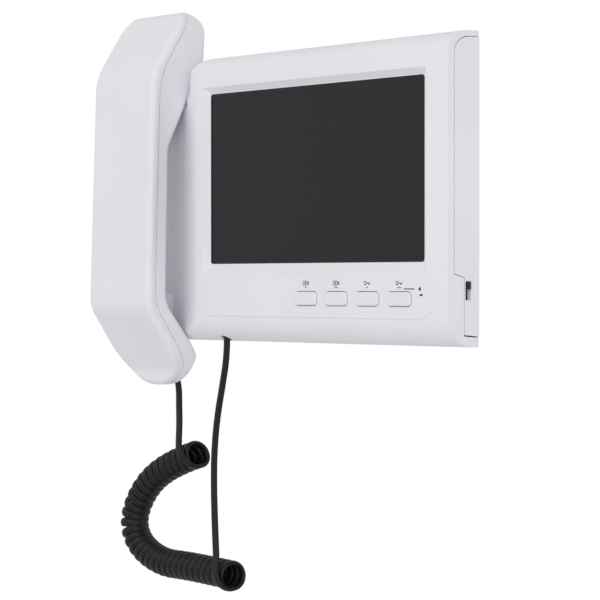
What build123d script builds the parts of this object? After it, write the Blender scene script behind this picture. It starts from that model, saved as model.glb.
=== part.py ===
"""Wall-mounted video intercom monitor: screen housing, handset on its cradle, and a curly cord.

The frame's origin is the middle of the wall bracket's two screw holes, on the wall plane.
+X points right as the user faces the unit, +Y into the wall, and +Z up. "Depth" means the
distance out from the wall, so a depth of 26 is the plane Y = -26. All sizes are millimetres.
"""

from build123d import *
import math
import os

# ---------------------------------------------------------------- housing
face_depth = 25.5  # wall to the flat front face
panel_lift = 0.5  # raised screen panel, above the face
rim_depth = 10.5  # wall to the front cover's rear rim
back_depth = 2.2  # wall to the rear cover's back face
half_height = 72.0  # housing's middle to its top and its bottom
right_edge = 94.2  # right edge of the front face
side_flare = 4.1  # how much wider the right side is at the rim
monitor_left = -92.6  # left edge of the monitor block beside the earpiece
bay_left = -150.0  # left edge of the handset bay
bay_drop = 14.0  # the bay's top, below the housing's
bay_floor = 16.0  # depth of the bay's floor
bay_shoulder = 5.0  # the bay's top stops this far right of the monitor's left edge
ramp_start = -88.0  # where the face begins to fall towards the bay
ramp_end = -118.0  # where that slope meets the bay's floor
ramp_round = 24.0  # rounding at the top of the slope
nest_drop = 20.0  # the slope's upper end, below the housing's top
nest_round = 7.0  # rounding where that end meets the monitor block
top_round = 10.0  # front edge rounding along the top
bottom_round = 13.0  # front edge rounding along the bottom
corner_round = 12.0  # outline corners
wall = 2.4  # plastic wall
back_taper = 46.0  # degrees, slope of the rear cover's rim
seam = 0.3  # gap between two mating covers
side_seam = 22.5  # depth of the seam in the right side
side_seam_low = 17.4  # its depth along the side switch
side_step = -38.7  # height where the seam steps back
side_seam_margin = 2.6  # the seam's distance below the top
seam_lean = 0.1  # slope of the seam's lower end
fit_gap = 0.4  # clearance between separate pieces
back_inner = back_depth + wall  # depth of the rear cover's inside face

# ---------------------------------------------------------------- screen
screen_width = 154.0
screen_height = 86.0
screen_z = 10.0  # height of the screen's middle
glass_gap = 0.4  # thickness of the gasket between the cover and the glass
glass_thick = 1.1
glass_lap = 2.0  # how far the glass runs behind its opening
bezel_side = 3.2  # width of the bezel's slope at the top and the sides
bezel_bottom = 6.0  # and along the bottom
panel_left = -86.0
panel_right = 86.0
panel_top = 61.3
panel_bottom = -59.3
panel_corner = 11.0

# ---------------------------------------------------------------- buttons and side switch
button_x = -1.6  # middle of the first button
button_pitch = 21.55
button_count = 4
button_z = -50.1
button_width = 16.6  # opening
button_height = 7.2
button_corner = 2.6
button_gap = 0.3
button_proud = 1.3  # cap above the panel
button_travel = 1.2
switch_z = -46.2  # middle of the slot in the right side
switch_slot = 8.6
switch_depth = 15.3  # depth of the slot's middle
switch_width = 2.7
switch_travel = 5.0
knob_height = 3.4

# ---------------------------------------------------------------- handset
grip_x = -123.5  # middle of the handset
handset_width = 51.0
handset_wall = 2.2
handset_edge = 3.0  # rounding of all its edges
lug_width = 14.0
lug_gap = 1.0
tongue_drop = 31.0  # height of the cradle's tongue, below the housing's top
tongue_width = 9.0
tongue_thick = 4.0
plunger_rise = 13.0  # height of the hook plunger, above the housing's bottom
plunger_radius = 3.5
plunger_travel = 3.0

# ---------------------------------------------------------------- bracket
bracket_width = 100.0
bracket_height = 104.0
bracket_thick = 1.5
screw_spacing = 83.3  # wall box screws, one above the other
screw_radius = 2.2
hook_x = 38.0
hook_z = 26.0
hook_width = 10.0
hook_tip = 5.0
lift_travel = 8.0

# ---------------------------------------------------------------- cord
cord_diameter = 3.2
coil_diameter = 15.0
grommet_radius = 2.6
base_exit = (-71.0, -17.6)  # X and Y where the cord leaves the housing's bottom

os.makedirs("parts", exist_ok=True)
bay_top = half_height - bay_drop
nest_top = half_height - nest_drop
tongue_z = half_height - tongue_drop
plunger_z = plunger_rise - half_height
panel_depth = face_depth + panel_lift
inner_face = face_depth - wall
glass_depth = inner_face - glass_gap  # depth of the glass's front
right_rim = right_edge + side_flare


def finish(builder, name):
    """Label a finished piece and write its STEP file."""
    builder.part.label = name
    export_step(builder.part, f"parts/{name}.step")


def block(left, right, deep, shallow, low, high, mode=Mode.ADD):
    """Add or cut a box given by its X limits, its two depths and its Z limits."""
    middle = ((left + right) / 2, (low + high) / 2)
    with BuildSketch(Plane.XZ.offset(deep)) as section:
        with Locations(middle):
            Rectangle(right - left, high - low)
    extrude(section.sketch, amount=shallow - deep, mode=mode)


def round_bar(x, z, radius, deep, shallow, mode=Mode.ADD):
    """Add or cut a round bar along Y, given by its axis, its radius and its two depths."""
    with BuildSketch(Plane.XZ.offset(deep)) as section:
        with Locations((x, z)):
            Circle(radius)
    extrude(section.sketch, amount=shallow - deep, mode=mode)


# ================================================================ the housing's outer shape
def round_corner(outline, across, up, radius):
    """Round the corner of a sketch that lies nearest to a point of its own plane."""
    fillet(outline.vertices().sort_by_distance((across, up, 0))[0], radius)


def side_profile(inset):
    """Side view of the housing: rounded at the top and bottom front edges."""
    top = half_height - inset
    front = face_depth - inset
    with BuildSketch(Plane.YZ.offset(bay_left - 5)) as profile:
        with BuildLine():
            Polyline((5, -top), (-front, -top), (-front, top), (5, top), close=True)
        make_face()
        round_corner(profile, -front, -top, bottom_round - inset)
        round_corner(profile, -front, top, top_round - inset)
    return profile.sketch


def right_wall(inset, depth):
    """X of the slanted right side at a depth."""
    lean = side_flare / (face_depth - rim_depth)
    return right_edge - inset + lean * (face_depth - depth)


def base_plan(inset):
    """Top view of the base: a slanted right side and a straight left one."""
    far = face_depth + 10
    with BuildSketch(Plane.XY.offset(-half_height - 5)) as profile:
        with BuildLine():
            Polyline(
                (right_wall(inset, -5), 5),
                (right_wall(inset, far), -far),
                (bay_left - 10, -far),
                (bay_left - 10, 5),
                close=True,
            )
        make_face()
    return profile.sketch


def block_plan(inset):
    """Top view of the monitor block: slanted right side, flat face, slope down to the bay."""
    front = face_depth - inset
    slope_rise = front - (bay_floor - inset)
    slope_run = ramp_start - ramp_end
    sunk_end = ramp_end - 0.3 * slope_run
    sunk = front - 1.3 * slope_rise
    with BuildSketch(Plane.XY.offset(-half_height - 5)) as profile:
        with BuildLine():
            Polyline(
                (right_wall(inset, -5), 5),
                (right_wall(inset, front), -front),
                (ramp_start, -front),
                (sunk_end, -sunk),
                (sunk_end, 5),
                close=True,
            )
        make_face()
        round_corner(profile, ramp_start, -front, ramp_round)
    return profile.sketch


def base_outline(inset, depth):
    """Front view of the whole housing, bay included."""
    left = bay_left + inset
    top = half_height - inset
    shoulder = monitor_left + inset + bay_shoulder
    far_right = right_rim + 10
    with BuildSketch(Plane.XZ.offset(depth)) as outline:
        with BuildLine():
            Polyline(
                (far_right, -top),
                (far_right, top),
                (shoulder, top),
                (shoulder, bay_top - inset),
                (left, bay_top - inset),
                (left, -top),
                close=True,
            )
        make_face()
        round_corner(outline, left, -top, corner_round - inset)
        round_corner(outline, left, bay_top - inset, corner_round - inset)
        round_corner(outline, shoulder, top, corner_round / 2 - inset / 2)
    return outline.sketch


def block_outline(inset, depth):
    """Front view of what stands in front of the bay's floor: the monitor and its slope."""
    left = monitor_left + inset
    top = half_height - inset
    foot = ramp_end - 6
    far_right = right_rim + 10
    with BuildSketch(Plane.XZ.offset(depth)) as outline:
        with BuildLine():
            Polyline(
                (far_right, -top),
                (far_right, top),
                (left, top),
                (left, nest_top - inset),
                (foot, nest_top - inset),
                (foot, -top),
                close=True,
            )
        make_face()
        round_corner(outline, left, top, corner_round - inset)
        round_corner(outline, left, nest_top - inset, nest_round)
    return outline.sketch


# The handset's back, in side view: the slanted backs of the earpiece and the mouthpiece.
ear_back = (-9.5, half_height)
ear_bend = (-33.0, half_height - 45.0)
mouth_bend = (-34.6, 19.5 - half_height)
mouth_back = (-12.8, -7.5 - half_height)
ear_slope = (ear_back[0] - ear_bend[0]) / (ear_back[1] - ear_bend[1])
mouth_slope = (mouth_back[0] - mouth_bend[0]) / (mouth_bend[1] - mouth_back[1])


def ear_face(z):
    """Y of the earpiece's slanted back at a height."""
    return ear_bend[0] + ear_slope * (z - ear_bend[1])


def mouth_face(z):
    """Y of the mouthpiece's slanted back at a height."""
    return mouth_bend[0] + mouth_slope * (mouth_bend[1] - z)


def nest(inset):
    """The room the handset takes in the slope: all that lies in front of its back, with a gap."""
    gap = lug_gap + inset
    high = half_height + 10
    side = grip_x + handset_width / 2 + gap
    with BuildSketch(Plane.YZ.offset(side - 60)) as room:
        with BuildLine():
            Polyline(
                (ear_face(high) + gap, high),
                (ear_bend[0] + gap, ear_bend[1]),
                (mouth_bend[0] + gap, mouth_bend[1]),
                (mouth_face(-high) + gap, -high),
                (-60, -high),
                (-60, high),
                close=True,
            )
        make_face()
    return extrude(room.sketch, amount=60)


def housing_envelope(inset):
    """Outer shape of the front cover, or its inside when inset by the wall."""
    base_front = bay_floor - inset
    with BuildPart() as base:
        extrude(base_outline(inset, 0), amount=base_front)
        extrude(side_profile(inset), amount=300, mode=Mode.INTERSECT)
        extrude(base_plan(inset), amount=200, mode=Mode.INTERSECT)
    with BuildPart() as monitor:
        extrude(block_outline(inset, base_front - 2), amount=face_depth)
        extrude(side_profile(inset), amount=300, mode=Mode.INTERSECT)
        extrude(block_plan(inset), amount=200, mode=Mode.INTERSECT)
        add(nest(inset), mode=Mode.SUBTRACT)
    return base.part + monitor.part


def side_opening(gap, rear):
    """Right-hand region in side view, in front of a depth, for the rear cover's side wall."""
    front = side_seam - gap
    low_front = side_seam_low - gap
    top = half_height - side_seam_margin - gap
    low_end = 2.5 + gap - top
    with BuildSketch(Plane.YZ.offset(right_edge - 9)) as region:
        with BuildLine():
            Polyline(
                (-rear, top),
                (-front, top),
                (-front, side_step + gap),
                (-low_front, side_step - 1.7 + gap),
                (-low_front, low_end),
                (-rear, low_end - seam_lean * (low_front - rear)),
                close=True,
            )
        make_face()
        round_corner(region, -front, top, top_round - 2.5)
    return extrude(region.sketch, amount=30)


outer_shape = housing_envelope(0)
inner_shape = housing_envelope(wall)

# ================================================================ front cover
screen_low = screen_z - screen_height / 2
screen_high = screen_z + screen_height / 2
half_screen = screen_width / 2
button_places = [(button_x + n * button_pitch, button_z) for n in range(button_count)]
post_places = [(84.0, 62.0), (-80.0, 62.0), (84.0, -60.0), (-30.0, -61.0)]
bay_post_places = [(-141.0, 46.0), (-141.0, -60.0)]
post_radius = 3.4
post_end = rim_depth - 1.2  # depth where the front cover's posts meet the rear cover's
bay_inner = bay_floor - wall
board_thick = 1.6
button_board_depth = 13.4
button_board_front = button_board_depth + board_thick
button_board_posts = [(button_x + (n + 0.5) * button_pitch, button_z + 7.5) for n in (0, button_count - 2)]
tongue_reach = 6.0  # how far the tongue goes past the handset's back
screw_hole = 1.5
board_screw_radius = 1.0
power_left = -90.0
power_right = -38.0
power_low = -60.0
power_high = -38.0
lamp_x = 77.3
lamp_z = -48.2
screw_shank = 1.4
screw_head = 2.8
speaker_z = 2.0
speaker_radius = 18.0
plunger_hole = plunger_radius + fit_gap

with BuildPart() as front_cover:
    add(outer_shape)
    add(inner_shape, mode=Mode.SUBTRACT)
    block(-200, 200, -5, rim_depth, -100, 100, mode=Mode.SUBTRACT)
    add(side_opening(0, 0), mode=Mode.SUBTRACT)
    # the raised panel round the screen and the buttons
    panel_wide = panel_right - panel_left
    panel_tall = panel_top - panel_bottom
    panel_mid = ((panel_right + panel_left) / 2, (panel_top + panel_bottom) / 2)
    with BuildSketch(Plane.XZ.offset(face_depth - 0.2)):
        with Locations(panel_mid):
            RectangleRounded(panel_wide, panel_tall, panel_corner)
    extrude(amount=panel_lift + 0.2)
    panel_edges = front_cover.faces().sort_by(Axis.Y)[0].edges()
    fillet(panel_edges, panel_lift * 0.6)
    # the bezel's slopes, narrow at the sides and wide along the bottom
    with BuildSketch(Plane.XZ.offset(panel_depth)):
        with Locations((0, (screen_low - bezel_bottom + screen_high + bezel_side) / 2)):
            Rectangle(screen_width + 2 * bezel_side, screen_height + bezel_side + bezel_bottom)
    with BuildSketch(Plane.XZ.offset(glass_depth + 0.6)):
        with Locations((0, screen_z)):
            Rectangle(screen_width + 0.4, screen_height + 0.4)
    loft(mode=Mode.SUBTRACT)
    with BuildSketch(Plane.XZ.offset(panel_depth)):
        with Locations((0, screen_z)):
            RectangleRounded(screen_width, screen_height, 1.5)
    extrude(amount=-2 * wall, mode=Mode.SUBTRACT)
    # button openings and the ring-off lamp
    with BuildSketch(Plane.XZ.offset(panel_depth + 1)):
        with Locations(*button_places):
            RectangleRounded(button_width, button_height, button_corner)
        with Locations((lamp_x, lamp_z)):
            SlotOverall(2.4, 1.0)
    extrude(amount=-2 * wall - 1, mode=Mode.SUBTRACT)
    # screw posts
    for place_x, place_z in post_places:
        round_bar(place_x, place_z, post_radius, post_end, inner_face + 0.2)
        round_bar(place_x, place_z, screw_hole, post_end, inner_face - 4, mode=Mode.SUBTRACT)
    for place_x, place_z in bay_post_places:
        round_bar(place_x, place_z, post_radius, post_end, bay_inner + 0.2)
        round_bar(place_x, place_z, screw_hole, post_end, bay_inner, mode=Mode.SUBTRACT)
    for place_x, place_z in button_board_posts:
        round_bar(place_x, place_z, 2.2, button_board_front, inner_face + 0.2)
        round_bar(place_x, place_z, 0.9, button_board_front, inner_face - 2, mode=Mode.SUBTRACT)
    # upper lug that carries the earpiece, with the tongue that goes into its slot
    lug_low = tongue_z - 6
    with BuildSketch(Plane.YZ.offset(grip_x - lug_width / 2)) as upper_lug:
        with BuildLine():
            Polyline(
                (-bay_floor + 0.5, bay_top - 4),
                (ear_face(bay_top - 4) + lug_gap, bay_top - 4),
                (ear_face(lug_low) + lug_gap, lug_low),
                (-bay_floor + 0.5, lug_low - 5),
                close=True,
            )
        make_face()
        round_corner(upper_lug, ear_face(lug_low) + lug_gap, lug_low, 3.0)
    extrude(amount=lug_width)
    block(
        grip_x - tongue_width / 2,
        grip_x + tongue_width / 2,
        bay_floor,
        tongue_reach - ear_face(tongue_z),
        tongue_z - tongue_thick / 2,
        tongue_z + tongue_thick / 2,
    )
    # lower lug that steadies the mouthpiece and guides the hook plunger
    lug_high = plunger_z + 5
    lug_foot = plunger_z - 11
    with BuildSketch(Plane.YZ.offset(grip_x - lug_width / 2)) as lower_lug:
        with BuildLine():
            Polyline(
                (-bay_floor + 0.5, lug_high + 7),
                (mouth_face(lug_high) + lug_gap, lug_high + 2),
                (mouth_face(lug_high) + lug_gap, lug_high),
                (mouth_face(lug_foot) + lug_gap, lug_foot),
                (-bay_floor + 0.5, lug_foot),
                close=True,
            )
        make_face()
        round_corner(lower_lug, mouth_face(lug_high) + lug_gap, lug_high + 2, 1.0)
    extrude(amount=lug_width)
    round_bar(grip_x, plunger_z, plunger_hole, rim_depth, 40, mode=Mode.SUBTRACT)
    # sound slots behind the grip
    for row in range(5):
        slot_z = speaker_z + (row - 2) * 5.0
        low = slot_z - 0.8
        block(grip_x - 15, grip_x + 1, bay_inner - 1, bay_floor + 1, low, low + 1.6, mode=Mode.SUBTRACT)
    # where the cord leaves through the bottom wall
    with BuildSketch(Plane.XY.offset(-half_height - 1)):
        with Locations((base_exit[0], base_exit[1])):
            Circle(grommet_radius + fit_gap / 2)
    extrude(amount=4 * wall, mode=Mode.SUBTRACT)
finish(front_cover, "front_cover")

# ================================================================ rear cover
rear_rim = rim_depth - seam
all_posts = post_places + bay_post_places
board_left = -70.0
board_right = 76.0
board_low = -30.0
board_high = 62.0
board_depth = 9.0  # back face of the main board
board_front = board_depth + board_thick
board_margin = 8.0
board_posts = [
    (board_left + board_margin, board_low + board_margin),
    (board_left + board_margin, board_high - board_margin),
    (board_right - board_margin, board_low + board_margin),
    (board_right - board_margin, board_high - board_margin),
]
power_posts = [(power_left + 3.5, power_low + 3.5), (power_right - 3.5, power_high - 3.5)]
all_board_posts = board_posts + power_posts
board_post_radius = 3.0
cable_opening = 40.0
window_height = hook_tip + lift_travel + 1.0
window_width = hook_width + 2.0
hook_places = [(x, z) for x in (-hook_x, hook_x) for z in (-hook_z, hook_z)]
corner_cut = corner_round / 2  # bevel on the corner beside the handset's earpiece
side_wall = (outer_shape - inner_shape) & side_opening(seam, rear_rim - 0.5)


def rear_outline(inset, depth):
    """Front view of the rear cover at its rim."""
    left = bay_left + inset
    right = right_rim - inset
    top = half_height - inset
    shoulder = monitor_left + inset + bay_shoulder
    with BuildSketch(Plane.XZ.offset(depth)) as outline:
        with BuildLine():
            Polyline(
                (right, -top),
                (right, top),
                (shoulder + corner_cut, top),
                (shoulder, top - corner_cut),
                (shoulder, bay_top - inset),
                (left, bay_top - inset),
                (left, -top),
                close=True,
            )
        make_face()
        round_corner(outline, left, -top, corner_round - inset)
        round_corner(outline, left, bay_top - inset, corner_round - inset)
    return outline.sketch


with BuildPart() as rear_cover:
    extrude(rear_outline(0, rear_rim), amount=back_depth - rear_rim, taper=back_taper)
    extrude(rear_outline(wall, rear_rim), amount=back_inner - rear_rim, taper=back_taper, mode=Mode.SUBTRACT)
    add(side_wall)
    for place_x, place_z in all_posts:
        round_bar(place_x, place_z, post_radius + 1.0, back_depth, post_end - fit_gap / 2)
        round_bar(place_x, place_z, screw_head + fit_gap, 0, back_inner, mode=Mode.SUBTRACT)
        round_bar(place_x, place_z, screw_shank + fit_gap, 0, post_end, mode=Mode.SUBTRACT)
    for place_x, place_z in all_board_posts:
        round_bar(place_x, place_z, board_post_radius, back_inner - 0.2, board_depth)
        round_bar(place_x, place_z, board_screw_radius + 0.1, back_inner, board_depth, mode=Mode.SUBTRACT)
    for place_x, place_z in hook_places:
        left = place_x - window_width / 2
        block(left, left + window_width, 0, back_inner, place_z - window_height, place_z, mode=Mode.SUBTRACT)
    half_opening = cable_opening / 2
    block(-half_opening, half_opening, 0, back_inner, -half_opening, half_opening, mode=Mode.SUBTRACT)
    slot_low = switch_z - switch_slot / 2
    slot_deep = switch_depth - switch_width / 2
    slot_shallow = slot_deep + switch_width
    slot_high = slot_low + switch_slot
    block(right_edge - 9, right_rim + 10, slot_deep, slot_shallow, slot_low, slot_high, mode=Mode.SUBTRACT)
    # vent slots along the top of the back
    for slot in range(9):
        slot_x = (slot - 4) * 12.0
        block(slot_x - 4, slot_x + 4, 0, back_inner, 54.0, 55.6, mode=Mode.SUBTRACT)
finish(rear_cover, "rear_cover")

# ================================================================ wall bracket
with BuildPart() as wall_bracket:
    with BuildSketch(Plane.XZ):
        RectangleRounded(bracket_width, bracket_height, 6)
        Rectangle(cable_opening, cable_opening, mode=Mode.SUBTRACT)
        with Locations((0, screw_spacing / 2), (0, -screw_spacing / 2)):
            Circle(screw_radius, mode=Mode.SUBTRACT)
    extrude(amount=bracket_thick)
    for place_x, place_z in hook_places:
        left = place_x - hook_width / 2
        right = left + hook_width
        stem_top = place_z - 0.1
        tip_depth = back_inner + fit_gap
        block(left, right, bracket_thick, tip_depth + bracket_thick, stem_top - bracket_thick, stem_top)
        block(left, right, tip_depth, tip_depth + bracket_thick, stem_top, stem_top + hook_tip)
finish(wall_bracket, "wall_bracket")

# ================================================================ screen
opening_lap = 2 * glass_lap
glass_back = glass_depth - glass_thick
panel_can_thick = 5.6
panel_can_back = glass_back - panel_can_thick
light_thick = 1.4
with BuildPart() as screen_glass:
    with BuildSketch(Plane.XZ.offset(glass_back)):
        with Locations((0, screen_z)):
            RectangleRounded(screen_width + opening_lap, screen_height + opening_lap, 2)
    extrude(amount=glass_thick)
finish(screen_glass, "screen_glass")

with BuildPart() as screen_gasket:
    with BuildSketch(Plane.XZ.offset(glass_depth)):
        with Locations((0, screen_z)):
            RectangleRounded(screen_width + opening_lap, screen_height + opening_lap, 2)
            Rectangle(screen_width + 1, screen_height + 1, mode=Mode.SUBTRACT)
    extrude(amount=glass_gap)
finish(screen_gasket, "screen_gasket")

with BuildPart() as screen_panel:
    with BuildSketch(Plane.XZ.offset(panel_can_back)):
        with Locations((0, screen_z)):
            RectangleRounded(screen_width + 10, screen_height + 10, 1)
    extrude(amount=panel_can_thick)
finish(screen_panel, "screen_panel")

with BuildPart() as backlight:
    with BuildSketch(Plane.XZ.offset(panel_can_back - light_thick)):
        with Locations((0, screen_z)):
            RectangleRounded(screen_width + 6, screen_height + 6, 1)
    extrude(amount=light_thick)
finish(backlight, "backlight")

# ================================================================ boards and what they carry
with BuildPart() as main_board:
    block(board_left, board_right, board_depth, board_front, board_low, board_high)
    for place_x, place_z in board_posts:
        round_bar(place_x, place_z, board_screw_radius + 0.2, board_depth, board_front, mode=Mode.SUBTRACT)
finish(main_board, "main_board")

chip_sizes = [(-40, 20, 22, 22), (10, 24, 16, 16), (40, 10, 12, 20), (-50, -6, 10, 8), (0, -18, 9, 7)]
with BuildPart() as board_chips:
    for left, low, wide, tall in chip_sizes:
        block(left, left + wide, board_front, board_front + 1.6, low, low + tall)
finish(board_chips, "board_chips")

with BuildPart() as ribbon_socket:
    block(24, 48, board_front, board_front + 2.2, -14, -9)
finish(ribbon_socket, "ribbon_socket")

with BuildPart() as screen_ribbon:
    block(26, 46, board_front + 2.2, panel_can_back - light_thick, -11.7, -11.3)
finish(screen_ribbon, "screen_ribbon")

with BuildPart() as terminal_block:
    block(-18, 18, back_inner + 0.2, board_depth, -29, -21.5)
    for n in range(6):
        pole_x = (n - 2.5) * 5.6
        block(pole_x - 1.8, pole_x + 1.8, back_inner + 1.2, board_depth - 1.4, -29, -27, mode=Mode.SUBTRACT)
finish(terminal_block, "terminal_block")

with BuildPart() as power_board:
    block(power_left, power_right, board_depth, board_front, power_low, power_high)
    for place_x, place_z in power_posts:
        round_bar(place_x, place_z, board_screw_radius + 0.2, board_depth, board_front, mode=Mode.SUBTRACT)
finish(power_board, "power_board")

with BuildPart() as transformer:
    block(power_left + 8, power_left + 29, board_front, board_front + 9, power_low + 3, power_high - 3)
    core_x = power_left + 18.5
    block(core_x - 8, core_x + 8, board_front + 9, board_front + 11, power_low + 5, power_high - 5)
finish(transformer, "transformer")

with BuildPart() as capacitors:
    for n in range(3):
        round_bar(power_left + 34 + n * 7, power_low + 6, 3.2, board_front, board_front + 9)
finish(capacitors, "capacitors")

tact_height = 3.5
tact_stem = 0.5
tact_top = button_board_front + tact_height
last_button = button_x + (button_count - 1) * button_pitch
with BuildPart() as button_board:
    block(button_x - 12, last_button + 17, button_board_depth, button_board_front, button_z - 7, button_z + 10.5)
    for place_x, place_z in button_board_posts:
        round_bar(place_x, place_z, 1.2, button_board_depth, button_board_front, mode=Mode.SUBTRACT)
finish(button_board, "button_board")

with BuildPart() as tact_switches:
    for place_x, place_z in button_places:
        block(place_x - 3, place_x + 3, button_board_front, tact_top, place_z - 3, place_z + 3)
        round_bar(place_x, place_z, 1.7, tact_top - 0.2, tact_top + tact_stem)
finish(tact_switches, "tact_switches")

stem_depth = tact_top + tact_stem + button_travel + 0.15
flange_front = inner_face - 0.5
flange_back = flange_front - 1.0
cap_front = panel_depth + button_proud
for number, (place_x, place_z) in enumerate(button_places, start=1):
    with BuildPart() as button:
        with BuildSketch(Plane.XZ.offset(flange_back)):
            with Locations((place_x, place_z)):
                RectangleRounded(button_width + 1.6, button_height + 1.6, button_corner)
        extrude(amount=flange_front - flange_back)
        with BuildSketch(Plane.XZ.offset(flange_front)):
            with Locations((place_x, place_z)):
                cap_wide = button_width - 2 * button_gap
                cap_tall = button_height - 2 * button_gap
                RectangleRounded(cap_wide, cap_tall, button_corner - button_gap)
        extrude(amount=cap_front - flange_front)
        fillet(button.faces().sort_by(Axis.Y)[0].edges(), 0.9)
        round_bar(place_x, place_z, 2.0, stem_depth, flange_back)
    finish(button, f"button_{number}")

with BuildPart() as status_lamp:
    with BuildSketch(Plane.XZ.offset(inner_face - 0.5)):
        with Locations((lamp_x, lamp_z)):
            SlotOverall(2.0, 0.7)
    extrude(amount=panel_depth - 0.3 - inner_face + 0.5)
    block(lamp_x - 2, lamp_x + 2, button_board_front, inner_face - 0.5, lamp_z - 1.5, lamp_z + 1.5)
finish(status_lamp, "status_lamp")

# ================================================================ side switch
can_right = right_wall(wall, switch_depth) - 1.6
knob_top = switch_z + switch_slot / 2 - 0.3
knob_deep = switch_depth - switch_width / 2 + 0.3
knob_shallow = switch_depth + switch_width / 2 - 0.3
with BuildPart() as side_switch:
    block(can_right - 7, can_right, switch_depth - 3, switch_depth + 3, switch_z - 7, switch_z + 7)
finish(side_switch, "side_switch")

with BuildPart() as switch_knob:
    knob_out = right_wall(0, switch_depth) + 0.9
    block(can_right + 0.2, knob_out, knob_deep, knob_shallow, knob_top - knob_height, knob_top)
    for ridge in range(3):
        ridge_z = knob_top - 0.55 - ridge * 1.15
        block(knob_out - 0.5, knob_out + 1, 0, 40, ridge_z - 0.6, ridge_z - 0.2, mode=Mode.SUBTRACT)
finish(switch_knob, "switch_knob")

# ================================================================ loudspeaker and hook switch
gasket_thick = 0.6
with BuildPart() as loudspeaker:
    round_bar(grip_x, speaker_z, speaker_radius, bay_inner - 3.4, bay_inner - gasket_thick)
    round_bar(grip_x, speaker_z, speaker_radius / 2, back_inner + 0.6, bay_inner - 3.2)
finish(loudspeaker, "loudspeaker")

with BuildPart() as speaker_gasket:
    round_bar(grip_x, speaker_z, speaker_radius, bay_inner - gasket_thick, bay_inner)
    round_bar(grip_x, speaker_z, speaker_radius - 3, bay_inner - 1, bay_inner, mode=Mode.SUBTRACT)
finish(speaker_gasket, "speaker_gasket")

plunger_tip = -(mouth_face(plunger_z - plunger_radius) + 0.4)
plunger_flange = back_inner + 3.4
with BuildPart() as hook_plunger:
    round_bar(grip_x, plunger_z, plunger_radius, plunger_flange, plunger_tip)
    fillet(hook_plunger.faces().sort_by(Axis.Y)[0].edges(), 1.6)
    round_bar(grip_x, plunger_z, plunger_radius + 1.6, plunger_flange, plunger_flange + 1.2)
finish(hook_plunger, "hook_plunger")

spring_wire = 0.3
spring_start = -(back_inner + spring_wire + 0.1)
spring_height = plunger_flange - back_inner - 2 * spring_wire - 0.4
with BuildPart() as hook_spring:
    with BuildLine():
        turns = Helix(spring_height / 3, spring_height, 3.0, center=(grip_x, spring_start, plunger_z), direction=(0, -1, 0))
    with BuildSketch(Plane(origin=turns @ 0, z_dir=turns % 0)):
        Circle(spring_wire)
    sweep()
finish(hook_spring, "hook_spring")

with BuildPart() as hook_switch:
    block(grip_x + 7, grip_x + 19, back_inner + 0.1, back_inner + 6, plunger_z - 4, plunger_z + 4)
finish(hook_switch, "hook_switch")

# ================================================================ screws and the cord's base grommet
with BuildPart() as housing_screws:
    for place_x, place_z in all_posts:
        round_bar(place_x, place_z, screw_head, back_depth + 0.2, back_inner)
        round_bar(place_x, place_z, screw_shank, back_inner - 0.2, bay_inner - 0.4)
        round_bar(place_x, place_z, 1.1, back_depth, back_depth + 1.2, mode=Mode.SUBTRACT)
finish(housing_screws, "housing_screws")

with BuildPart() as board_screws:
    for place_x, place_z in all_board_posts:
        round_bar(place_x, place_z, board_screw_radius * 2, board_front, board_front + 1.3)
        round_bar(place_x, place_z, board_screw_radius, back_inner + 0.4, board_front)
    for place_x, place_z in button_board_posts:
        round_bar(place_x, place_z, 1.8, button_board_depth - 1.2, button_board_depth)
        round_bar(place_x, place_z, 0.8, button_board_depth - 0.2, inner_face - 3)
finish(board_screws, "board_screws")

grommet_end = 2.4 - half_height  # its lower face, just inside the hole
grommet_length = 6.0
with BuildPart() as base_grommet:
    with BuildSketch(Plane.XY.offset(grommet_end)):
        with Locations(base_exit):
            Circle(grommet_radius)
    extrude(amount=grommet_length)
    with BuildSketch(Plane.XY.offset(grommet_end + grommet_length)):
        with Locations(base_exit):
            Circle(grommet_radius + 1.3)
    extrude(amount=1.3)
finish(base_grommet, "base_grommet")

# ================================================================ handset
handset_top = half_height + 27.5
handset_bottom = -23.7 - half_height
handset_top_corner = 14.0
handset_bottom_corner = 23.5
handset_profile = [
    ((-47.4, 17.0 - half_height), 18.0),
    ((-43.3, half_height - 7.5), 28.0),
    ((-21.0, half_height + 26.2), 6.0),
    ((-8.2, half_height + 23.0), 10.0),
    (ear_back, 10.0),
    (ear_bend, 15.0),
    (mouth_bend, 15.0),
    (mouth_back, 4.0),
    ((-13.5, -26.0 - half_height), 0),
    ((-23.0, -26.0 - half_height), 0),
    ((-24.5, -16.0 - half_height), 9.0),
]
# where the two shells meet, in side view, from below the bottom to above the top
parting_line = [
    (-19.0, -38.0 - half_height),
    (-20.7, -13.4 - half_height),
    (-42.8, 18.6 - half_height),
    (-39.2, half_height - 8.9),
    (-4.9, half_height + 44.8),
]
parting_rounds = {1: 12.0, 2: 24.0, 3: 40.0}  # rounding of the line at its inner points


def handset_side(inset):
    """Side view of the handset, inset by a wall."""
    with BuildSketch(Plane.YZ.offset(grip_x - handset_width)) as side:
        with BuildLine():
            Polyline(*[point for point, radius in handset_profile], close=True)
        make_face()
        for (across, up), radius in handset_profile:
            if radius > 0:
                round_corner(side, across, up, radius)
        if inset > 0:
            offset(amount=-inset, mode=Mode.REPLACE)
    return side.sketch


def handset_front_view(inset):
    """Front view of the handset, inset by a wall."""
    half = handset_width / 2 - inset
    low = handset_bottom + inset
    high = handset_top - inset
    with BuildSketch(Plane.XZ) as outline:
        with Locations((grip_x, (low + high) / 2)):
            Rectangle(2 * half, high - low)
        round_corner(outline, grip_x - half, low, handset_bottom_corner - inset)
        round_corner(outline, grip_x + half, low, handset_bottom_corner - inset)
        round_corner(outline, grip_x - half, high, handset_top_corner - inset)
        round_corner(outline, grip_x + half, high, handset_top_corner - inset)
    return outline.sketch


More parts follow.
